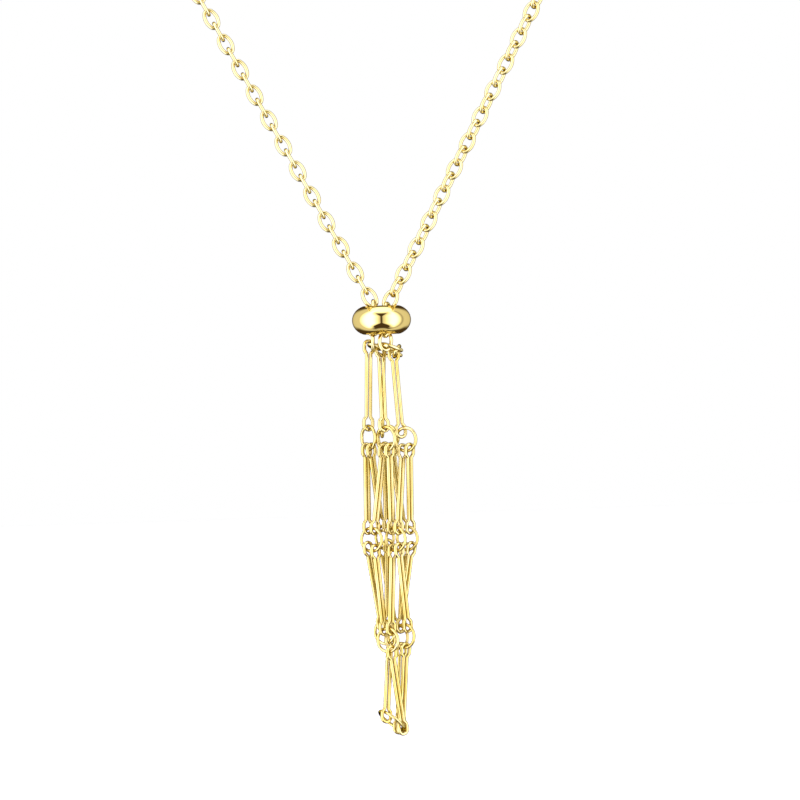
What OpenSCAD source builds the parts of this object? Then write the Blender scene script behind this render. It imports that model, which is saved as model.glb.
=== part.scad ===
// Gold necklace with an empty crystal holder: a cable chain runs through a
// slider bead and draws a collapsed net of long links and rings together.
// Millimetres, +Z up, front towards -Y, origin at the clasp on the nape.

/* [Chain] */
// Wire thickness of a chain link
link_wire = 0.5; // [0.46:0.01:0.5]
// Length of a chain link, over its wire
link_len = 3.16; // [3.14:0.01:3.18]
// Width of a chain link, over its wire
link_width = 2.12; // [2.1:0.01:2.14]
// Distance from one link's centre to the next
pitch = 2.0; // [1.99:0.01:2.01]
// Links on each side, from the drawn loop up to the clasp
side_links = 102; // [92:2:110]

/* [Worn shape] */
// Angle of each front leg from the vertical
leg_angle = 27.8; // [27:0.1:29]
// Height above the bead's centre where the lines of the two legs meet
leg_vertex = 0.2; // [0:0.05:0.4]
// Radius of the bend where a leg turns back over the collarbone
shoulder_r = 28; // [24:1:32]
// Straight stretch along the side of the neck
neck_run = 10; // [6:1:16]
// Straight stretch on each side of the nape
nape_run = 6; // [6:1:8]

/* [Slider bead] */
// Diameter of the bead
bead_d = 8.1; // [7.8:0.1:8.6]
// Height of the bead
bead_h = 4.1; // [3.8:0.1:4.3]
// Bore of the bead
bore_d = 4.8; // [4.7:0.05:4.8]
// Rounding of the bead's edges
bead_round = 1.6; // [1.2:0.1:1.6]

/* [Net] */
// Wire thickness of a ring
ring_wire = 0.44; // [0.4:0.01:0.44]
// Radius of a ring, to the middle of its wire
ring_r = 1.6; // [1.6:0.01:1.62]
// Wire thickness of a long link
bar_wire = 0.48; // [0.44:0.01:0.48]
// Length of a long link, over its wire
bar_len = 12.8; // [12.75:0.01:12.85]
// Radius of a long link's eye, to the middle of its wire
eye_r = 0.72; // [0.72:0.01:0.74]
// Straight stretch in each side of an eye
eye_straight = 0.4; // [0.36:0.01:0.44]
// Half the distance between the two wires of a long link
pair_half = 0.28; // [0.26:0.01:0.3]
// Radius of the ring at the tip
tip_r = 2; // [1.98:0.01:2.02]
// Slope of the ring at the tip
tip_tilt = 41.6; // [41:0.2:42]
// Turn of the ring at the tip about the vertical
tip_turn = 27; // [26:1:28]

/* [Clasp] */
// Diameter of the clasp's barrel
clasp_d = 2.6; // [2.4:0.1:3]
// Length of the clasp's barrel
clasp_len = 7; // [6.6:0.1:7]
// Distance from the clasp's middle to the far end of each eye's wire
clasp_tip = 5; // [5:0.05:5.2]
// Radius of each eye of the clasp, to the middle of its wire
clasp_eye = 0.85; // [0.8:0.05:0.9]
// Wire thickness of the clasp's eyes
clasp_wire = 0.5; // [0.45:0.01:0.5]

/* [Hidden] */
$fn = 24;
gold = [0.83, 0.66, 0.36];
dark_gold = [0.72, 0.53, 0.24];
// Gap between a wire and the eye that hangs on it
slip = 0.06;
// How far the web between a long link's two wires runs past their middles
web_lap = 0.02;

// Rings of the net, seen from the bead's centre. Columns: name, x, y, z, and
// the turn of the ring about the vertical, where 0 faces the front.
RINGS = [
    ["upper_ring_left", -2.3, -0.1, -16.1, -55],
    ["upper_ring_front", 0.1, -1.9, -16.3, -40],
    ["upper_ring_right", 2.8, -0.2, -16.5, -30],
    ["upper_ring_back", 0.4, 1.9, -16.2, -30],
    ["middle_ring_left", -2.3, -0.9, -30.1, -30],
    ["middle_ring_front", 1.0, -1.5, -30.1, -35],
    ["middle_ring_right", 2.6, 0.9, -30.1, -30],
    ["middle_ring_back", -0.5, 1.4, -29.9, -40],
    ["lower_ring_left", -0.9, 0.4, -42.9, -35],
    ["lower_ring_front", -0.5, -1.7, -43.9, -30],
    ["lower_ring_right", 1.8, 0.0, -43.5, -35],
    ["lower_ring_back", 0.9, 2.0, -43.7, -35]
];

// Middle of the ring at the tip, seen from the bead's centre
tip_centre = [-0.32, -0.82, -54.95];

// Corners of the drawn loop under the bead, where the ends of its upright
// links are. It starts at the left strand and goes round the back.
LOOP = [
    [-1.3, 0.0, -3.34],
    [-0.93, 1.93, -3.76],
    [1.33, 3.23, -4.39],
    [1.95, 2.02, -4.63],
    [1.97, -0.57, -4.09],
    [0.4, -1.45, -3.54]
];
// Roll of each link of the drawn loop about its own length
LOOP_ROLL = [15, 19, -25, -30, 1];

// Long links that hang from the drawn loop. Columns: name, link of the loop,
// where along that link, which of its two wires, the ring below, angle on it
// from its highest point, the turn about the vertical, and the share of its
// slack that stays at the top.
LOOP_BARS = [
    ["top_bar_left", 0, -0.27, 1, "upper_ring_left", 2, 22, 0.33],
    ["top_bar_front", 0, 0.15, -1, "upper_ring_front", -10, 22, 0.54],
    ["top_bar_right", 3, -0.04, -1, "upper_ring_right", -27, 17, 0.53],
    ["top_bar_back", 1, 0.31, -1, "upper_ring_back", -33, 94, 0.49]
];

// Long links between two rings. Columns: name, ring above, angle on it from
// its lowest point, ring below, angle on it from its highest point, and the
// turn about the vertical.
NET_BARS = [
    ["upper_bar_1", "upper_ring_left", -20, "middle_ring_left", -20, 35],
    ["upper_bar_2", "upper_ring_front", -20, "middle_ring_left", 20, 35],
    ["upper_bar_3", "upper_ring_front", 20, "middle_ring_front", -20, 35],
    ["upper_bar_4", "upper_ring_right", -20, "middle_ring_front", 20, 35],
    ["upper_bar_5", "upper_ring_right", 20, "middle_ring_right", 20, 35],
    ["upper_bar_6", "upper_ring_back", 20, "middle_ring_right", -20, 35],
    ["upper_bar_7", "upper_ring_back", -20, "middle_ring_back", 20, 35],
    ["upper_bar_8", "upper_ring_left", 20, "middle_ring_back", -20, 38],
    ["lower_bar_1", "middle_ring_left", -20, "lower_ring_left", -20, 35],
    ["lower_bar_2", "middle_ring_left", 20, "lower_ring_front", -20, 35],
    ["lower_bar_3", "middle_ring_front", -20, "lower_ring_front", 20, 35],
    ["lower_bar_4", "middle_ring_front", 20, "lower_ring_right", 20, 35],
    ["lower_bar_5", "middle_ring_right", 20, "lower_ring_right", -20, 35],
    ["lower_bar_6", "middle_ring_right", -20, "lower_ring_back", 20, 35],
    ["lower_bar_7", "middle_ring_back", -20, "lower_ring_back", -20, 35],
    ["lower_bar_8", "middle_ring_back", 20, "lower_ring_left", 20, 35]
];

// Long links down to the ring at the tip. Columns: name, ring above, angle on
// it from its lowest point, angle on the tip ring from its lowest point, turn.
TIP_BARS = [
    ["tip_bar_left", "lower_ring_left", 31, 211, 27],
    ["tip_bar_front", "lower_ring_front", 19, -18, 31],
    ["tip_bar_right", "lower_ring_right", 5, -2, 30],
    ["tip_bar_back", "lower_ring_back", 20, 21, 23]
];

// Half length and half width of a link, to the middle of its wire
link_a = (link_len - link_wire) / 2;
link_b = (link_width - link_wire) / 2;
// From the end of one link's wire to the centre of the next link
seat = pitch - link_a;
// Links between the drawn loop and the bend at the top of the bead
inner_links = 3;
// How much closer to the bend at the top of the bead its two links lie
bend_ease = 0.05;
inner_run = seat + (inner_links - 0.5) * pitch - bend_ease;
quarter = PI / 2;

function unit(v) = v / norm(v);
function mirrored(v) = [-v[0], v[1], v[2]];
// Rigid placement with its own X, Z and centre
function placed(x, z, centre) =
    let (y = cross(z, x))
    [[x[0], y[0], z[0], centre[0]], [x[1], y[1], z[1], centre[1]], [x[2], y[2], z[2], centre[2]], [0, 0, 0, 1]];

// The strand on the right, measured from where the lines of the legs meet
leg_dir = [sin(leg_angle), 0, cos(leg_angle)];
vertex = [0, 0, leg_vertex];
// Distance along a leg's line at which it is one inner run from a corner of the loop
function knee_at(dir, corner) =
    let (b = (vertex - corner) * dir, c = (vertex - corner) * (vertex - corner) - inner_run * inner_run)
    -b + sqrt(b * b - c);
knee_left = knee_at(mirrored(leg_dir), LOOP[0]);
knee_right = knee_at(leg_dir, LOOP[5]);
outer_links = side_links - inner_links;
// Length of the path from the vertex to the nape, set by the number of links
path_len = knee_left - bend_ease + (outer_links - 0.5) * pitch + seat + clasp_tip;
pitch_right = (path_len - clasp_tip - seat - knee_right + bend_ease - pitch / 2) / (outer_links - 1);
// Straight part of each leg, and the radius round the back of the neck
leg_len = (path_len - shoulder_r * quarter - neck_run - nape_run
    - (shoulder_r * sin(leg_angle) - nape_run) * quarter) / (1 + sin(leg_angle) * quarter);
neck_r = (leg_len + shoulder_r) * sin(leg_angle) - nape_run;
// Place of the bead's centre, below and in front of the clasp
bead_at = [
    0,
    -(shoulder_r + neck_run + neck_r),
    -(leg_vertex + (leg_len + shoulder_r) * cos(leg_angle))
];

// Lengths along the path at which each stretch starts
bend_start = leg_len;
run_start = bend_start + shoulder_r * quarter;
back_start = run_start + neck_run;
end_start = back_start + neck_r * quarter;

// Point and tangent of the right strand, and the direction that starts as the front
function on_bend(t) = [
    vertex + leg_dir * (leg_len + shoulder_r * sin(t)) + [0, shoulder_r * (1 - cos(t)), 0],
    leg_dir * cos(t) + [0, sin(t), 0],
    leg_dir * sin(t) - [0, cos(t), 0]
];
function on_back(t) =
    let (out = [cos(t), sin(t), 0], side = nape_run)
    [
        [side + neck_r * cos(t), -bead_at[1] - neck_r + neck_r * sin(t), -bead_at[2]],
        [-sin(t), cos(t), 0],
        out * leg_dir[0] + [0, 0, leg_dir[2]]
    ];
function strand(s) =
    s < bend_start ? [vertex + leg_dir * s, leg_dir, [0, -1, 0]] :
    s < run_start ? on_bend((s - bend_start) / shoulder_r * 180 / PI) :
    s < back_start ? let (end = on_bend(90)) [end[0] + [0, s - run_start, 0], end[1], end[2]] :
    s < end_start ? on_back((s - back_start) / neck_r * 180 / PI) :
    let (end = on_back(90)) [end[0] - [s - end_start, 0, 0], end[1], end[2]];

// Turn of each link about its strand: the left links alternate squarely, and
// the right strand is twisted, so that its links stand half open
function turn_left(i) = 90 * (i + 1);
// Turn of the right strand's first link, and from one link to the next in the bead
twist_start = 12;
twist_step = 64;
// Turns of the links that stand open above the bead and of those between them
open_turn = 170;
half_open_turn = 235;
function turn_right(i) =
    i < inner_links ? twist_start - twist_step * i :
    i % 2 == 1 ? open_turn : half_open_turn;

// One chain link: two half rings joined by two straight wires, flat in XY
module link() {
    straight = link_a - link_b;
    union() {
        for (turn = [0, 180]) rotate([0, 0, turn]) {
            translate([straight, 0, 0]) rotate([0, 0, -90]) rotate_extrude(angle = 180)
                translate([link_b, 0]) circle(d = link_wire);
            translate([-straight, link_b, 0]) rotate([0, 90, 0]) cylinder(d = link_wire, h = 2 * straight);
        }
    }
}

// A link along a direction, with its flat side turned from a facing direction
module placed_link(centre, along, facing, turn) {
    face = unit(facing - along * (facing * along));
    side = cross(along, face);
    multmatrix(placed(along, face * cos(turn) + side * sin(turn), centre)) link();
}

// The links of one side, from the drawn loop up to the clasp
module inner_strand(corner, knee, right) {
    along = unit(knee - corner);
    for (i = [0 : inner_links - 1])
        placed_link(corner + along * (seat + i * pitch), along, [0, -1, 0], right ? turn_right(i) : turn_left(i));
}

module outer_strand(knee, step, right) {
    for (i = [0 : outer_links - 1]) {
        at = strand(knee - bend_ease + pitch / 2 + i * step);
        turn = right ? turn_right(i + inner_links) : turn_left(i + inner_links);
        if (right) placed_link(at[0], at[1], at[2], turn);
        else placed_link(mirrored(at[0]), mirrored(at[1]), mirrored(at[2]), turn);
    }
}

// The drawn loop: flat links at its even places and upright ones between
function loop_dir(i) = unit(LOOP[i + 1] - LOOP[i]);
function loop_side(i) = unit(cross(loop_dir(i), [0, 0, 1]));
function loop_up(i) = cross(loop_side(i), loop_dir(i));
function loop_centre(i) =
    i == 0 ? LOOP[1] - loop_dir(0) * seat :
    i == 4 ? LOOP[4] + loop_dir(4) * seat :
    (LOOP[i] + LOOP[i + 1]) / 2;

function loop_face(i) = i % 2 == 0 ? loop_up(i) : loop_side(i);
// Direction from the middle of a link of the drawn loop to one of its two wires
function loop_across(i) =
    let (face = loop_face(i), side = cross(loop_dir(i), face))
    cross(face * cos(LOOP_ROLL[i]) + side * sin(LOOP_ROLL[i]), loop_dir(i));

module drawn_loop() {
    for (i = [0 : 4]) placed_link(loop_centre(i), loop_dir(i), loop_face(i), LOOP_ROLL[i]);
}

module chain_left() {
    color(gold) translate(bead_at) {
        outer_strand(knee_left, pitch, false);
        inner_strand(LOOP[0], vertex + mirrored(leg_dir) * knee_left, false);
        drawn_loop();
    }
}

module chain_right() {
    color(gold) translate(bead_at) {
        outer_strand(knee_right, pitch_right, true);
        inner_strand(LOOP[5], vertex + leg_dir * knee_right, true);
    }
}

module half_ring(r, wire) {
    rotate([90, 0, 0]) rotate_extrude(angle = 180) translate([r, 0]) circle(d = wire);
}

module ring(r) {
    rotate([90, 0, 0]) rotate_extrude() translate([r, 0]) circle(d = ring_wire);
}

// One long link, upright, with an eye at each end and two wires between them
module bar() {
    eye_at = bar_len / 2 - bar_wire / 2 - eye_r;
    crotch = eye_at - eye_straight;
    pair_end = crotch - sqrt(eye_r * eye_r - pair_half * pair_half);
    web = pair_half + web_lap;
    union() {
        for (turn = [0, 180]) rotate([0, turn, 0]) {
            translate([0, 0, eye_at]) half_ring(eye_r, bar_wire);
            translate([0, 0, crotch]) mirror([0, 0, 1]) half_ring(eye_r, bar_wire);
            for (side = [-1, 1])
                translate([side * eye_r, 0, crotch]) cylinder(d = bar_wire, h = eye_straight);
        }
        for (side = [-1, 1])
            translate([side * pair_half, 0, -pair_end]) cylinder(d = bar_wire, h = 2 * pair_end);
        cube([web, web, 2 * pair_end], center = true);
    }
}

function ring_row(name) = [for (row = RINGS) if (row[0] == name) row][0];
function ring_centre(row) = [row[1], row[2], row[3]];
function ring_width(row) = [cos(row[4]), sin(row[4]), 0];
// Point of a ring's wire, at an angle from its lowest point
function on_ring(name, angle) =
    let (row = ring_row(name))
    ring_centre(row) + ring_r * (ring_width(row) * sin(angle) - [0, 0, cos(angle)]);
// Point of the tip ring's wire, at an angle from its lowest point
function on_tip(angle) =
    let (x = cos(angle) * cos(tip_tilt), y = sin(angle), across = [-sin(tip_turn), cos(tip_turn), 0])
    tip_centre + tip_r * (x * [cos(tip_turn), sin(tip_turn), 0] + y * across - [0, 0, cos(angle) * sin(tip_tilt)]);
// Point of the drawn loop's wire that carries a long link
function on_loop(i, along, wire) = loop_centre(i) + loop_dir(i) * along + loop_across(i) * wire * link_b;

// Reach of a long link between the wires in its two eyes, when it is pulled tight
function reach(wire) = bar_len - 2 * bar_wire - 2 * slip - wire / 2 - ring_wire / 2;

// A long link from a wire above to a wire below. Its slack is shared between
// its eyes: keep is the share that stays at the top.
module placed_bar(above, below, turn, wire, keep) {
    along = unit(above - below);
    slack = reach(wire) - norm(above - below);
    hold = bar_wire / 2 + slip + wire / 2 + keep * slack;
    flat = [cos(turn), sin(turn), 0];
    across = unit(flat - along * (flat * along));
    centre = above - along * (bar_len / 2 - bar_wire / 2 - hold);
    multmatrix(placed(across, along, centre)) bar();
}

// Share of the slack that stays at the top of a long link between two rings
net_keep = 0.5;

module loop_bar(row) {
    color(gold) translate(bead_at)
        placed_bar(on_loop(row[1], row[2], row[3]), on_ring(row[4], 180 - row[5]), row[6], link_wire, row[7]);
}

module net_bar(row) {
    color(gold) translate(bead_at)
        placed_bar(on_ring(row[1], row[2]), on_ring(row[3], 180 - row[4]), row[5], ring_wire, net_keep);
}

module tip_bar(row) {
    color(gold) translate(bead_at)
        placed_bar(on_ring(row[1], row[2]), on_tip(row[3]), row[4], ring_wire, net_keep);
}

module net_ring(row) {
    color(dark_gold) translate(bead_at + ring_centre(row)) rotate([0, 0, row[4]]) ring(ring_r);
}

module tip_ring() {
    color(dark_gold) translate(bead_at + tip_centre) rotate([0, 0, tip_turn]) rotate([90, tip_tilt, 0]) ring(tip_r);
}

// Bead section: a rounded rectangle from the bore to the rim
module slider_bead() {
    rim = bead_d / 2;
    flat = rim - bead_round;
    side = bead_h / 2 - bead_round;
    color(gold) translate(bead_at) difference() {
        rotate_extrude() {
            translate([0, -bead_h / 2]) square([flat, bead_h]);
            translate([0, -side]) square([rim, 2 * side]);
            for (end = [-1, 1]) translate([flat, end * side]) intersection() {
                circle(r = bead_round);
                translate([0, end > 0 ? 0 : -bead_round]) square(bead_round);
            }
        }
        cylinder(d = bore_d, h = 2 * bead_h, center = true);
    }
}

// Barrel with an eye at each end, square to the last links of the chain
module clasp() {
    color(gold) rotate([-leg_angle, 0, 0]) union() {
        rotate([0, 90, 0]) cylinder(d = clasp_d, h = clasp_len, center = true);
        for (turn = [0, 180]) rotate([0, 0, turn]) translate([clasp_tip - clasp_eye, 0, 0])
            rotate([90, 0, 0]) rotate_extrude() translate([clasp_eye, 0]) circle(d = clasp_wire);
    }
}

chain_left();
chain_right();
clasp();
slider_bead();
for (row = LOOP_BARS) loop_bar(row);
for (row = NET_BARS) net_bar(row);
for (row = TIP_BARS) tip_bar(row);
for (row = RINGS) net_ring(row);
tip_ring();
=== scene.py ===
# %% [markdown]
# # A gold necklace with an empty crystal holder
#
# A fine cable chain runs down on both sides, passes through a polished slider
# bead, and gathers a hanging net of long double-wire links and round rings. The
# net is made to close round a crystal. Here it is empty, so it hangs as a
# slim bundle. Everything is polished yellow gold.
#
# The solids are loaded first. They say where each piece is, and this script
# gives each piece its finished shape and its metal.

# %% Load the solids
import math

import bmesh
import bpy
import numpy as np
from mathutils import Matrix, Vector


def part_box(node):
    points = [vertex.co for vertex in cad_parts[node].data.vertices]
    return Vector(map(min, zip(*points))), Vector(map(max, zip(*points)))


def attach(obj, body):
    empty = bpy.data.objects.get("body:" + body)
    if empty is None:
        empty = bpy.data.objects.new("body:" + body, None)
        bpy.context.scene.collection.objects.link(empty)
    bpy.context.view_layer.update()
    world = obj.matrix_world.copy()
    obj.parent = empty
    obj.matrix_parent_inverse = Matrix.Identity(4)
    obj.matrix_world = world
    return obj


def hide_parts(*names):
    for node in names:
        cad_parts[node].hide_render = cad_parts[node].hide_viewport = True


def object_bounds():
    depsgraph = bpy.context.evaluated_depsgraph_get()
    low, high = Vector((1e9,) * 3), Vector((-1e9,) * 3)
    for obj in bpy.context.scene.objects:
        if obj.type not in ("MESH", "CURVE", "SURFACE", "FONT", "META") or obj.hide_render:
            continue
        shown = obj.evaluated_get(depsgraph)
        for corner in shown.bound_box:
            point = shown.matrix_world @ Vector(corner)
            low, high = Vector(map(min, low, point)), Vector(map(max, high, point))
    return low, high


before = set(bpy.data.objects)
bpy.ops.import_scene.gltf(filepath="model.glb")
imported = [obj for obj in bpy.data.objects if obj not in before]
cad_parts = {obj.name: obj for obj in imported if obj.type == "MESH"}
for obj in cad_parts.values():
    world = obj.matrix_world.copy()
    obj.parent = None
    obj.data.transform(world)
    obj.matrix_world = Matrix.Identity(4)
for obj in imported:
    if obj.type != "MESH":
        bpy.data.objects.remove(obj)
solid_box = [list(corner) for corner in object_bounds()]
MM = 0.001
print("box of the solids, mm:", [[round(v / MM, 1) for v in corner] for corner in solid_box])

# %% [markdown]
# ## The camera
#
# The picture looks straight at the front of the pendant from a good distance,
# with the necklace leaning a little to one side. A long lens keeps the chain
# and the net in proportion. The camera is placed from the bead: it is the one
# piece whose middle can be read off the picture to a pixel.

# %% Camera
PIXEL = 0.1374 * MM
FRAME_PIXELS = 800
LENS = 200
SENSOR_WIDTH = 36
BEAD_PIXEL = (381.5, 320)
lean = math.radians(1.8)
low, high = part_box("slider_bead")
bead_middle = (low + high) / 2

right = Vector((math.cos(lean), 0, -math.sin(lean)))
up = Vector((math.sin(lean), 0, math.cos(lean)))
back = Vector((0, -1, 0))
camera_data = bpy.data.cameras.new("camera")
camera_data.lens = LENS
camera_data.sensor_width = SENSOR_WIDTH
camera_data.clip_start, camera_data.clip_end = 0.01, 10
distance = FRAME_PIXELS * PIXEL * LENS / SENSOR_WIDTH
middle = FRAME_PIXELS / 2
look_at = bead_middle + right * (middle - BEAD_PIXEL[0]) * PIXEL - up * (middle - BEAD_PIXEL[1]) * PIXEL
camera = bpy.data.objects.new("camera", camera_data)
bpy.context.scene.collection.objects.link(camera)
facing = Matrix((right, up, back)).transposed().to_4x4()
camera.matrix_world = Matrix.Translation(look_at + back * distance) @ facing
bpy.context.scene.camera = camera
print("camera distance, m:", round(distance, 3))

# %% [markdown]
# ## Light
#
# Polished gold has no colour of its own to show: it shows the room. The bead
# mirrors two large soft boxes with a dark gap between them, and every wire has
# a bright streak with a dark edge. So the room is drawn as a sky: two broad
# bright fields left and right of the camera, a narrow gap between them, a
# dimmer field beside each, and darkness behind. A direction in the room is
# given by two angles in degrees: how far it is turned from the camera's side,
# and how far it is raised. The camera itself sees plain white.

# %% Light
world = bpy.data.worlds.new("studio")
bpy.context.scene.world = world
world.use_nodes = True
sky = world.node_tree
sky.nodes.clear()


def sky_node(kind, **settings):
    node = sky.nodes.new(kind)
    for name, value in settings.items():
        setattr(node, name, value)
    return node


def sky_math(operation, *values):
    """A Math node in the sky. Values are numbers or sockets."""
    node = sky_node("ShaderNodeMath", operation=operation)
    for socket, value in zip(node.inputs, values):
        if isinstance(value, (int, float)):
            socket.default_value = value
        else:
            sky.links.new(value, socket)
    return node.outputs[0]


def fade(value, start, end):
    """0 before start, 1 after end, smooth between. The order may be reversed."""
    node = sky_node("ShaderNodeMapRange", interpolation_type="SMOOTHSTEP")
    sky.links.new(value, node.inputs["Value"])
    node.inputs["From Min"].default_value = start
    node.inputs["From Max"].default_value = end
    return node.outputs["Result"]


def sky_mix(factor, first, second):
    """A Mix of two colours in the sky. A colour is four numbers or a socket."""
    mix = sky_node("ShaderNodeMix", data_type="RGBA")
    sky.links.new(factor, mix.inputs["Factor"])
    for name, colour in (("A", first), ("B", second)):
        if isinstance(colour, tuple):
            mix.inputs[name].default_value = colour
        else:
            sky.links.new(colour, mix.inputs[name])
    return mix.outputs["Result"]


DEGREES = math.degrees(1)
where = sky_node("ShaderNodeTexCoord")
axes = sky_node("ShaderNodeSeparateXYZ")
sky.links.new(where.outputs["Generated"], axes.inputs[0])
turned = sky_math("ARCTAN2", axes.outputs["X"], sky_math("MULTIPLY", axes.outputs["Y"], -1))
turned = sky_math("MULTIPLY", turned, DEGREES)
raised = sky_math("MULTIPLY", sky_math("ARCSINE", axes.outputs["Z"]), DEGREES)

# Half of the gap between the soft boxes at eye level. Below and above, it widens.
# Columns: raised angle where it starts to widen, where it is widest, by how much
GAP_HALF = 1
GAP_WIDENS = [
    (-26, -62, 48),
    (26, 60, 26),
]
gap = GAP_HALF
for start, end, more in GAP_WIDENS:
    gap = sky_math("ADD", gap, sky_math("MULTIPLY", fade(raised, start, end), more))

# Each soft box is dim at its near edge and brightens away from the middle. Columns:
# side, angle at which it is fully bright, start and end of the far edge, brightness
SOFT_BOXES = [
    (-1, 38, 60, 120, 2.7),
    (1, 46, 54, 104, 2.6),
]
NEAR_EDGE = 7
NEAR_SHARE = 0.32
BOX_BOTTOM = (-74, -52)
brightness = 0
for side, bright_from, far_start, far_end, strength in SOFT_BOXES:
    away = sky_math("MULTIPLY", turned, side)
    past = sky_math("SUBTRACT", away, gap)
    near = sky_math("MULTIPLY", fade(past, 0, NEAR_EDGE), NEAR_SHARE)
    main = sky_math("MULTIPLY", fade(past, NEAR_EDGE / 2, bright_from), 1 - NEAR_SHARE)
    field = sky_math("MULTIPLY", sky_math("ADD", near, main), fade(away, far_end, far_start))
    field = sky_math("MULTIPLY", field, fade(raised, *BOX_BOTTOM))
    brightness = sky_math("ADD", brightness, sky_math("MULTIPLY", field, strength))

# How far round the dimmer fields beside the boxes reach. Below and above, they draw in.
# Columns: raised angle where they start to draw in, where they have, by how much
SIDE_REACH = 142
SIDE_DRAWS_IN = [
    (-8, -36, 24),
    (12, 40, 12),
]
SIDE_START = (80, 104)
SIDE_EDGE = 26
SIDE_BRIGHTNESS = 0.8
reach = SIDE_REACH
for start, end, less in SIDE_DRAWS_IN:
    reach = sky_math("SUBTRACT", reach, sky_math("MULTIPLY", fade(raised, start, end), less))
beside = sky_math("ABSOLUTE", turned)
within = fade(sky_math("SUBTRACT", beside, reach), SIDE_EDGE, 0)
dim = sky_math("MULTIPLY", fade(beside, *SIDE_START), within)
brightness = sky_math("MAXIMUM", brightness, sky_math("MULTIPLY", dim, SIDE_BRIGHTNESS))

# Ceiling and table. Columns: raised angles between which it fades in, brightness
CEILING_AND_TABLE = [
    (48, 70, 2),
    (-70, -82, 0.6),
]
for start, end, strength in CEILING_AND_TABLE:
    brightness = sky_math("MAXIMUM", brightness, sky_math("MULTIPLY", fade(raised, start, end), strength))

# Dark parts of the room are warm brown, bright ones a warm white, and the brightest cool
DARK_ROOM = (0.07, 0.045, 0.025, 1)
BRIGHT_ROOM = (1, 0.98, 0.93, 1)
BRIGHTEST_ROOM = (0.98, 0.98, 1.2, 1)
COOL_RANGE = (0.9, 2.4)
room = sky_mix(sky_math("MINIMUM", brightness, 1), DARK_ROOM, BRIGHT_ROOM)
room = sky_mix(fade(brightness, *COOL_RANGE), room, BRIGHTEST_ROOM)
room_light = sky_node("ShaderNodeBackground")
sky.links.new(room, room_light.inputs["Color"])
sky.links.new(sky_math("MAXIMUM", brightness, 1), room_light.inputs["Strength"])
plain_white = sky_node("ShaderNodeBackground")
plain_white.inputs["Color"].default_value = (1, 1, 1, 1)
seen = sky_node("ShaderNodeLightPath")
choose = sky_node("ShaderNodeMixShader")
sky.links.new(seen.outputs["Is Camera Ray"], choose.inputs[0])
sky.links.new(room_light.outputs[0], choose.inputs[1])
sky.links.new(plain_white.outputs[0], choose.inputs[2])
world_out = sky_node("ShaderNodeOutputWorld")
sky.links.new(choose.outputs[0], world_out.inputs["Surface"])
bpy.context.scene.view_settings.view_transform = "Standard"

# %% [markdown]
# ## Gold
#
# The metal is one recipe with different values. Patches of a deeper gold and a
# slight unevenness of the surface break up the mirror, and rubbed spots are a
# little rougher. They are a shader group, so each kind of piece has its own
# amounts. The net and the rings take a darker gold than the bead, which is
# painted shade. The chain takes a paler one, which paints its paler highlights.
# Seen at a slant, the metal is darkened by its edge tint: painted shade along
# the edges of each piece.

# %% Polish group
POLISH_INPUTS = [
    ("Gold", "NodeSocketColor"),
    ("Shade", "NodeSocketColor"),
    ("Patch Size", "NodeSocketFloat"),
    ("Smooth", "NodeSocketFloat"),
    ("Worn", "NodeSocketFloat"),
    ("Ripple", "NodeSocketFloat"),
]
POLISH_OUTPUTS = [
    ("Color", "NodeSocketColor"),
    ("Roughness", "NodeSocketFloat"),
    ("Normal", "NodeSocketVector"),
]
PATCH_RANGE = (0.35, 0.7)
RUBBED_SCALE = 1700
RUBBED_RANGE = (0.4, 0.75)
UNEVEN_SCALE = 900
UNEVEN_HEIGHT = 0.02 * MM
polish = bpy.data.node_groups.new("polished_gold_surface", "ShaderNodeTree")
for name, kind in POLISH_INPUTS:
    polish.interface.new_socket(name, in_out="INPUT", socket_type=kind)
for name, kind in POLISH_OUTPUTS:
    polish.interface.new_socket(name, in_out="OUTPUT", socket_type=kind)
given = polish.nodes.new("NodeGroupInput")
made = polish.nodes.new("NodeGroupOutput")


def polish_noise(scale, detail):
    """Noise on the piece's own coordinates, in spots of about 1/scale metres."""
    noise = polish.nodes.new("ShaderNodeTexNoise")
    noise.inputs["Detail"].default_value = detail
    coordinates = polish.nodes.new("ShaderNodeTexCoord")
    polish.links.new(coordinates.outputs["Object"], noise.inputs["Vector"])
    if isinstance(scale, (int, float)):
        noise.inputs["Scale"].default_value = scale
    else:
        polish.links.new(scale, noise.inputs["Scale"])
    return noise.outputs["Fac"]


def polish_range(value, given_range, low, high):
    """Maps a value from the given range to the one from low to high."""
    node = polish.nodes.new("ShaderNodeMapRange")
    node.inputs["From Min"].default_value, node.inputs["From Max"].default_value = given_range
    for name, number in (("Value", value), ("To Min", low), ("To Max", high)):
        if isinstance(number, (int, float)):
            node.inputs[name].default_value = number
        else:
            polish.links.new(number, node.inputs[name])
    return node.outputs["Result"]


patches = polish_noise(given.outputs["Patch Size"], 3)
tone = polish.nodes.new("ShaderNodeMix")
tone.data_type = "RGBA"
polish.links.new(polish_range(patches, PATCH_RANGE, 0, 1), tone.inputs["Factor"])
polish.links.new(given.outputs["Gold"], tone.inputs["A"])
polish.links.new(given.outputs["Shade"], tone.inputs["B"])
polish.links.new(tone.outputs["Result"], made.inputs["Color"])
rubbed = polish_range(
    polish_noise(RUBBED_SCALE, 4), RUBBED_RANGE, given.outputs["Smooth"], given.outputs["Worn"]
)
polish.links.new(rubbed, made.inputs["Roughness"])
uneven = polish.nodes.new("ShaderNodeBump")
uneven.inputs["Distance"].default_value = UNEVEN_HEIGHT
polish.links.new(polish_noise(UNEVEN_SCALE, 2), uneven.inputs["Height"])
polish.links.new(given.outputs["Ripple"], uneven.inputs["Strength"])
polish.links.new(uneven.outputs["Normal"], made.inputs["Normal"])
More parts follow.
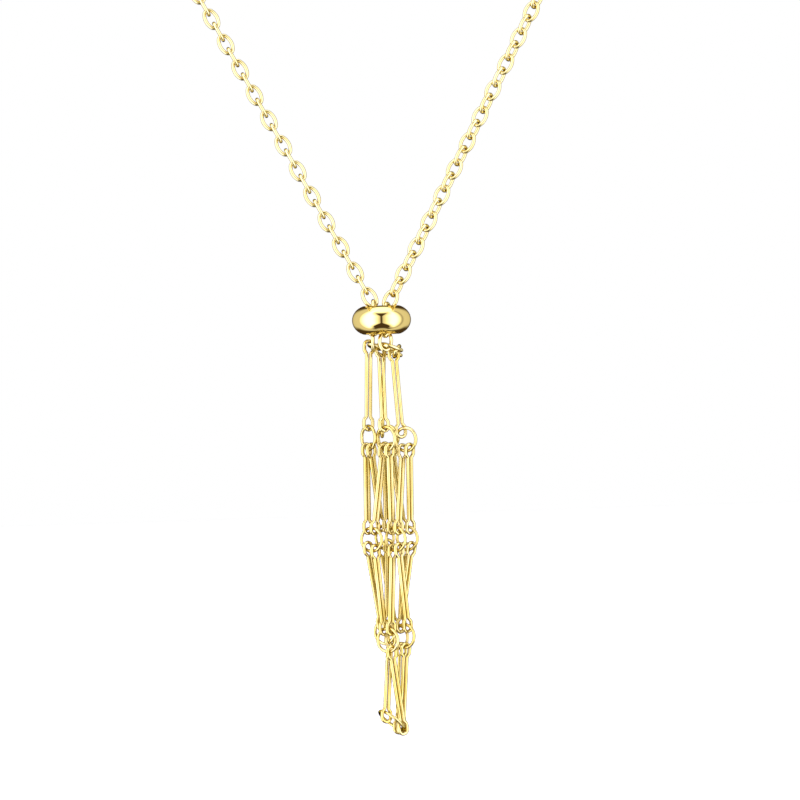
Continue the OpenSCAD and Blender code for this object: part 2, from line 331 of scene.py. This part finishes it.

# %% Gold for each kind of piece
# Columns: gold, shade, patch scale, smooth, worn, ripple, tint at the wire's edge.
# The net and ring gold is darker than the bead's, as painted shade, and the chain's
# is paler, as painted highlights. The tint paints shade along the edges.
GOLDS_WITH_PAINTED_LIGHT = {
    "chain_gold": ((0.84, 0.73, 0.36), (0.79, 0.65, 0.27), 320, 0.08, 0.17, 0.15, (0.43, 0.35, 0.17)),
    "bead_gold": ((0.97, 0.78, 0.31), (0.95, 0.75, 0.28), 120, 0.03, 0.07, 0.04, (0.8, 0.75, 0.6)),
    "net_gold": ((0.79, 0.66, 0.28), (0.71, 0.55, 0.14), 260, 0.07, 0.15, 0.12, (0.27, 0.2, 0.06)),
    "ring_gold": ((0.79, 0.66, 0.28), (0.71, 0.55, 0.14), 300, 0.09, 0.17, 0.15, (0.27, 0.2, 0.06)),
}


def gold_metal(name):
    metal = bpy.data.materials.new(name)
    metal.use_nodes = True
    tree = metal.node_tree
    shader = tree.nodes["Principled BSDF"]
    surface = tree.nodes.new("ShaderNodeGroup")
    surface.node_tree = polish
    for (socket, kind), value in zip(POLISH_INPUTS, GOLDS_WITH_PAINTED_LIGHT[name]):
        surface.inputs[socket].default_value = (*value, 1) if kind == "NodeSocketColor" else value
    tree.links.new(surface.outputs["Color"], shader.inputs["Base Color"])
    tree.links.new(surface.outputs["Roughness"], shader.inputs["Roughness"])
    tree.links.new(surface.outputs["Normal"], shader.inputs["Normal"])
    shader.inputs["Metallic"].default_value = 1
    # The edge tint darkens the metal seen at a slant: painted shade along the edges of each piece.
    shader.inputs["Specular Tint"].default_value = (*GOLDS_WITH_PAINTED_LIGHT[name][-1], 1)
    return metal


metals = {name: gold_metal(name) for name in GOLDS_WITH_PAINTED_LIGHT}

# %% [markdown]
# ## Where each piece is
#
# Every link, bar and ring is a flat loop of wire. Three things place it: its
# middle, the direction of its length, and the direction that it is flat in.
# They are measured on the solids: the spread of a flat loop's surface is
# largest along it and smallest across its flat side.

# %% Measure a solid
# Corners of triangles that are closer than this, in mm, are one point of the surface
SAME_POINT = 0.002


def loop_place(corners):
    """Matrix of a flat loop from its triangles: X along it, Z square to it."""
    sides = np.cross(corners[:, 1] - corners[:, 0], corners[:, 2] - corners[:, 0])
    areas = np.linalg.norm(sides, axis=1) / 2
    middles = corners.mean(axis=1)
    centre = (middles * areas[:, None]).sum(0) / areas.sum()
    around = corners - centre
    # A triangle's spread comes from its three corners, and from its middle nine times
    from_corners = np.einsum("t,tvi,tvj->ij", areas, around, around)
    from_middles = np.einsum("t,ti,tj->ij", areas, middles - centre, middles - centre)
    spread = from_corners + 9 * from_middles
    _, directions = np.linalg.eigh(spread)
    across, along = directions[:, 0], directions[:, 2]
    place = np.eye(4)
    place[:3, 0], place[:3, 1], place[:3, 2] = along, np.cross(across, along), across
    place[:3, 3] = centre
    return Matrix(place.tolist())


def triangles(node):
    """Corners of a solid's triangles, as an array of triangle, corner and axis."""
    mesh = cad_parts[node].data
    mesh.calc_loop_triangles()
    points = np.array([v.co for v in mesh.vertices])
    return points[np.array([t.vertices for t in mesh.loop_triangles])]


def loose_loops(node):
    """Triangles of each separate link in a chain's solid."""
    corners = triangles(node)
    keys = [tuple(key) for key in np.round(corners.reshape(-1, 3) / (SAME_POINT * MM)).astype(int)]
    names = {}
    for key in keys:
        names.setdefault(key, len(names))
    ids = np.array([names[key] for key in keys]).reshape(-1, 3)
    # Each point takes the lowest name in its triangles, until nothing changes
    group = np.arange(len(names))
    changed = True
    while changed:
        smallest = group[ids].min(axis=1)
        before = group.copy()
        for corner in range(3):
            np.minimum.at(group, ids[:, corner], smallest)
        group = group[group]
        changed = bool((group != before).any())
    owner = group[ids[:, 0]]
    return [corners[owner == number] for number in np.unique(owner)]


# %% [markdown]
# ## Bending wire
#
# Each loop is bent from round wire, as on the bench: a round section is swept
# through arcs and straight runs with Spin and Extrude. Only a quarter of a loop
# is bent, and mirrors make the rest, so that it closes exactly. The wire is
# modelled with 1 unit as 1 mm, which keeps the tools' tolerances small beside
# it, and is brought to size when it is put in place.

# %% Wire tools
WIRE_SIDES = 12
WELD = 0.002


def deselect():
    if bpy.context.object and bpy.context.object.mode != "OBJECT":
        bpy.ops.object.mode_set(mode="OBJECT")
    bpy.ops.object.select_all(action="DESELECT")


def start_wire(name, wire, at):
    """A round section of wire in the YZ plane, ready to be swept along X."""
    deselect()
    bpy.ops.mesh.primitive_circle_add(
        vertices=WIRE_SIDES, radius=wire / 2, location=at, rotation=(0, math.pi / 2, 0)
    )
    piece = bpy.context.object
    piece.name = piece.data.name = name
    bpy.ops.object.transform_apply(location=True, rotation=True, scale=True)
    bpy.ops.object.mode_set(mode="EDIT")
    bpy.ops.mesh.select_all(action="SELECT")
    return piece


def bend(centre, degrees, steps):
    """Sweeps the selected section anticlockwise round a centre in the XY plane."""
    bpy.ops.mesh.spin(steps=steps, angle=math.radians(-degrees), center=centre, axis=(0, 0, 1))


def run(step):
    """Sweeps the selected section along a straight line."""
    bpy.ops.mesh.extrude_region_move(TRANSFORM_OT_translate={"value": step})


def close_loop(piece):
    """Mirrors a quarter loop about X and Y, and closes it."""
    bpy.ops.object.mode_set(mode="OBJECT")
    mirror = piece.modifiers.new("mirror", "MIRROR")
    mirror.use_axis = (True, True, False)
    mirror.merge_threshold = WELD
    bpy.ops.object.modifier_apply(modifier=mirror.name)
    bpy.ops.object.mode_set(mode="EDIT")
    bpy.ops.mesh.select_all(action="SELECT")
    bpy.ops.mesh.remove_doubles(threshold=WELD)
    bpy.ops.mesh.normals_make_consistent(inside=False)
    bpy.ops.object.mode_set(mode="OBJECT")
    bpy.ops.object.shade_smooth()
    size = [round(v, 2) for v in piece.dimensions]
    print(piece.name, "faces:", len(piece.data.polygons), "size, mm:", size)


# %% [markdown]
# ## Chain link
#
# A cable chain's link is an oval ring. An oval is bent with two radii: a wide
# arc for the side and a tight one for the end. The radii are chosen so that
# they meet without a kink.

# %% Chain link
LINK_WIRE = 0.5
LINK_LONG = 1.33
LINK_WIDE = 0.81
END_RADIUS = 0.62
end_centre = LINK_LONG - END_RADIUS
side_radius = (end_centre**2 + LINK_WIDE**2 - END_RADIUS**2) / (2 * (LINK_WIDE - END_RADIUS))
side_angle = math.degrees(math.atan2(end_centre, side_radius - LINK_WIDE))
link = start_wire("chain_link", LINK_WIRE, (0, LINK_WIDE, 0))
bend((0, LINK_WIDE - side_radius, 0), -side_angle, 4)
bend((end_centre, 0, 0), -(90 - side_angle), 6)
close_loop(link)

# %% [markdown]
# ## Long link
#
# A long link is one wire bent into a slim loop. It is pinched along its whole
# length so that its two sides run side by side, and left open at both ends as
# a drop-shaped eye for the rings. The eyes are drawn slightly narrower than on
# the solids.

# %% Long link
BAR_WIRE = 0.48
BAR_LONG = 12.8
EYE_RADIUS = 0.64
EYE_STRAIGHT = 0.5
PAIR_HALF = 0.28
PINCH_RADIUS = 0.5
eye_centre = BAR_LONG / 2 - BAR_WIRE / 2 - EYE_RADIUS
pinch_angle = math.degrees(math.acos(1 - (EYE_RADIUS - PAIR_HALF) / (EYE_RADIUS + PINCH_RADIUS)))
neck = eye_centre - EYE_STRAIGHT
pinched = neck - (EYE_RADIUS + PINCH_RADIUS) * math.sin(math.radians(pinch_angle))
long_link = start_wire("long_link", BAR_WIRE, (0, PAIR_HALF, 0))
for _ in range(2):
    run((pinched / 2, 0, 0))
bend((pinched, PAIR_HALF + PINCH_RADIUS, 0), pinch_angle, 5)
bend((neck, 0, 0), -pinch_angle, 5)
run((EYE_STRAIGHT, 0, 0))
bend((eye_centre, 0, 0), -90, 9)
close_loop(long_link)

# %% [markdown]
# ## Ring
#
# The rings of the net are plain jump rings, soldered shut. A shallow groove
# shows where the two ends of the wire met.

# %% Rings
RING_WIRE = 0.44
RING_RADIUS = 1.6
TIP_RADIUS = 2
SEAM_ANGLE = 1.4
SEAM_PINCH = 0.93


def bent_ring(name, radius):
    ring = start_wire(name, RING_WIRE, (0, radius, 0))
    bend((0, 0, 0), -SEAM_ANGLE, 1)
    bend((0, 0, 0), -(90 - SEAM_ANGLE), 12)
    close_loop(ring)
    bpy.ops.object.mode_set(mode="EDIT")
    bpy.ops.mesh.select_all(action="DESELECT")
    shape = bmesh.from_edit_mesh(ring.data)
    for vertex in shape.verts:
        vertex.select = abs(vertex.co.x) < 0.001 and vertex.co.y > 0
    shape.select_flush_mode()
    bmesh.update_edit_mesh(ring.data)
    bpy.ops.transform.resize(value=(1, SEAM_PINCH, SEAM_PINCH), center_override=(0, radius, 0))
    bpy.ops.object.mode_set(mode="OBJECT")
    return ring


net_ring = bent_ring("net_ring", RING_RADIUS)
tip_ring = bent_ring("tip_ring_shape", TIP_RADIUS)

# %% [markdown]
# ## Putting the wire pieces in place
#
# A copy of the shape, with a mesh of its own, is moved to the place that was
# measured on the solid. The chains are many links: their copies are joined into
# one piece for each side.

# %% Place copies
def placed_copy(shape, place, name):
    copy = bpy.data.objects.new(name, shape.data.copy())
    bpy.context.scene.collection.objects.link(copy)
    copy.data.name = name
    copy.data.transform(place @ Matrix.Scale(MM, 4))
    return copy


def finish_piece(piece, node, metal):
    piece.data.materials.clear()
    piece.data.materials.append(metals[metal])
    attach(piece, "root")
    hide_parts(node)


def chain_piece(node):
    places = [loop_place(corners) for corners in loose_loops(node)]
    copies = [placed_copy(link, place, f"{node}_link") for place in places]
    deselect()
    for copy in copies:
        copy.select_set(True)
    bpy.context.view_layer.objects.active = copies[0]
    bpy.ops.object.join()
    chain = bpy.context.object
    chain.name = chain.data.name = f"{node}_links"
    finish_piece(chain, node, "chain_gold")
    print(node, "links:", len(places))


for node in ("chain_left", "chain_right"):
    chain_piece(node)

for node in sorted(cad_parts):
    if "_bar" in node:
        bar = placed_copy(long_link, loop_place(triangles(node)), f"{node}_wire")
        finish_piece(bar, node, "net_gold")
    elif "_ring" in node:
        shape = tip_ring if node == "tip_ring" else net_ring
        ring = placed_copy(shape, loop_place(triangles(node)), f"{node}_wire")
        finish_piece(ring, node, "ring_gold")

# %% [markdown]
# ## Slider bead
#
# The bead is a flattened ball with a wide hole. Its section is drawn and spun
# round its axis: a circle is squashed to the rounded side, its inner part is
# cut away at the hole, the ends are joined by the wall of the hole, and the
# two lips are rounded. Many steps keep the mirror even.

# %% Slider bead
BEAD_RADIUS = 4.05
BEAD_HALF = 2.05
SIDE_DEPTH = 2.3
BORE_RADIUS = 2.4
LIP_RADIUS = 0.1
SECTION_POINTS = 96
BEAD_STEPS = 128
CUT = 0.0001
deselect()
bpy.ops.mesh.primitive_circle_add(
    vertices=SECTION_POINTS, radius=1, location=(0, 0, 0), rotation=(math.pi / 2, 0, 0)
)
bead = bpy.context.object
bead.name = bead.data.name = "slider_bead_polished"
bpy.ops.object.transform_apply(location=True, rotation=True, scale=True)
bpy.ops.object.mode_set(mode="EDIT")
bpy.ops.mesh.select_all(action="SELECT")
bpy.ops.transform.resize(value=(SIDE_DEPTH, 1, BEAD_HALF), center_override=(0, 0, 0))
bpy.ops.transform.translate(value=(BEAD_RADIUS - SIDE_DEPTH, 0, 0))
bpy.ops.mesh.bisect(plane_co=(BORE_RADIUS, 0, 0), plane_no=(1, 0, 0), clear_inner=True, threshold=CUT)


def select_at(piece, test):
    """Selects the vertices that pass the test, in edit mode."""
    shape = bmesh.from_edit_mesh(piece.data)
    for part in (*shape.verts, *shape.edges, *shape.faces):
        part.select = False
    for vertex in shape.verts:
        vertex.select = bool(test(vertex.co))
    shape.select_flush_mode()
    bmesh.update_edit_mesh(piece.data)


select_at(bead, lambda point: point.x < BORE_RADIUS + 0.001)
bpy.ops.mesh.edge_face_add()
bpy.ops.mesh.bevel(affect="VERTICES", offset=LIP_RADIUS, segments=5)
bpy.ops.mesh.select_all(action="SELECT")
bpy.ops.mesh.spin(steps=BEAD_STEPS, angle=math.tau, center=(0, 0, 0), axis=(0, 0, 1))
bpy.ops.mesh.select_all(action="SELECT")
bpy.ops.mesh.remove_doubles(threshold=WELD)
bpy.ops.mesh.normals_make_consistent(inside=False)
bpy.ops.object.mode_set(mode="OBJECT")
bpy.ops.object.shade_smooth()
bead.data.transform(Matrix.Translation(bead_middle) @ Matrix.Scale(MM, 4))
finish_piece(bead, "slider_bead", "bead_gold")
print("bead faces:", len(bead.data.polygons), "size, mm:", [round(v / MM, 2) for v in bead.dimensions])

# %% [markdown]
# ## Clasp
#
# The fastening is behind the neck. It is a plain screw barrel: a round-ended
# tube in two halves, with a groove where they meet and one near each end, and a
# ring of wire at each end for the last link of the chain. The barrel starts as
# a cylinder along X. Bisect marks out the grooves, and Bevel rounds the ends.

# %% Clasp
BARREL_RADIUS = 1.3
BARREL_LONG = 7
BARREL_SIDES = 64
BARREL_ROUNDING = 0.45
GROOVE_HALF = 0.09
GROOVE_DEPTH = 0.93
COLLAR_AT = 2.3
CLASP_EYE = 0.85
CLASP_WIRE = 0.5
CLASP_TIP = 5
deselect()
bpy.ops.mesh.primitive_cylinder_add(
    vertices=BARREL_SIDES,
    radius=BARREL_RADIUS,
    depth=BARREL_LONG,
    location=(0, 0, 0),
    rotation=(0, math.pi / 2, 0),
)
barrel = bpy.context.object
barrel.name = barrel.data.name = "clasp_barrel"
bpy.ops.object.transform_apply(location=True, rotation=True, scale=True)
bpy.ops.object.mode_set(mode="EDIT")
for groove in (-COLLAR_AT, 0, COLLAR_AT):
    for side in (-2 * GROOVE_HALF, -GROOVE_HALF, GROOVE_HALF, 2 * GROOVE_HALF):
        bpy.ops.mesh.select_all(action="SELECT")
        bpy.ops.mesh.bisect(plane_co=(groove + side, 0, 0), plane_no=(1, 0, 0), threshold=CUT)
    select_at(barrel, lambda point: abs(point.x - groove) < GROOVE_HALF + 0.01)
    bpy.ops.transform.resize(value=(1, GROOVE_DEPTH, GROOVE_DEPTH), center_override=(0, 0, 0))
bpy.ops.object.mode_set(mode="OBJECT")
rounding = barrel.modifiers.new("rounded ends", "BEVEL")
rounding.width = BARREL_ROUNDING
rounding.segments = 6
rounding.limit_method = "ANGLE"
rounding.angle_limit = math.radians(60)
bpy.ops.object.modifier_apply(modifier=rounding.name)
bpy.ops.object.shade_smooth_by_angle(angle=math.radians(35))

clasp_eye = start_wire("clasp_eye", CLASP_WIRE, (0, CLASP_EYE, 0))
bend((0, 0, 0), -90, 10)
close_loop(clasp_eye)
eyes = []
for side in (-1, 1):
    eye = clasp_eye.copy()
    eye.data = clasp_eye.data.copy()
    eye.data.transform(Matrix.Translation((side * (CLASP_TIP - CLASP_EYE), 0, 0)))
    bpy.context.scene.collection.objects.link(eye)
    eyes.append(eye)
deselect()
for part in (*eyes, barrel):
    part.select_set(True)
bpy.context.view_layer.objects.active = barrel
bpy.ops.object.join()
barrel.data.transform(loop_place(triangles("clasp")) @ Matrix.Scale(MM, 4))
finish_piece(barrel, "clasp", "chain_gold")
print("clasp size, mm:", [round(v / MM, 2) for v in barrel.dimensions])

# %% [markdown]
# ## Floor
#
# A plain pale floor lies well below the necklace. It isn't mirrored in the
# gold, because a product picture keeps the table out of the reflections.

# %% Floor
FLOOR_SIZE = 6
FLOOR_DROP = 0.05
deselect()
bpy.ops.mesh.primitive_plane_add(size=FLOOR_SIZE, location=(0, 0, solid_box[0][2] - FLOOR_DROP))
floor = bpy.context.object
floor.name = "floor"
pale = bpy.data.materials.new("pale_floor")
pale.use_nodes = True
pale_shader = pale.node_tree.nodes["Principled BSDF"]
pale_shader.inputs["Base Color"].default_value = (0.98, 0.985, 1, 1)
pale_shader.inputs["Roughness"].default_value = 0.9
floor.data.materials.append(pale)
floor.visible_glossy = False

# %% Clear away the shapes that were copied
for shape in (link, long_link, net_ring, tip_ring, clasp_eye):
    bpy.data.objects.remove(shape)
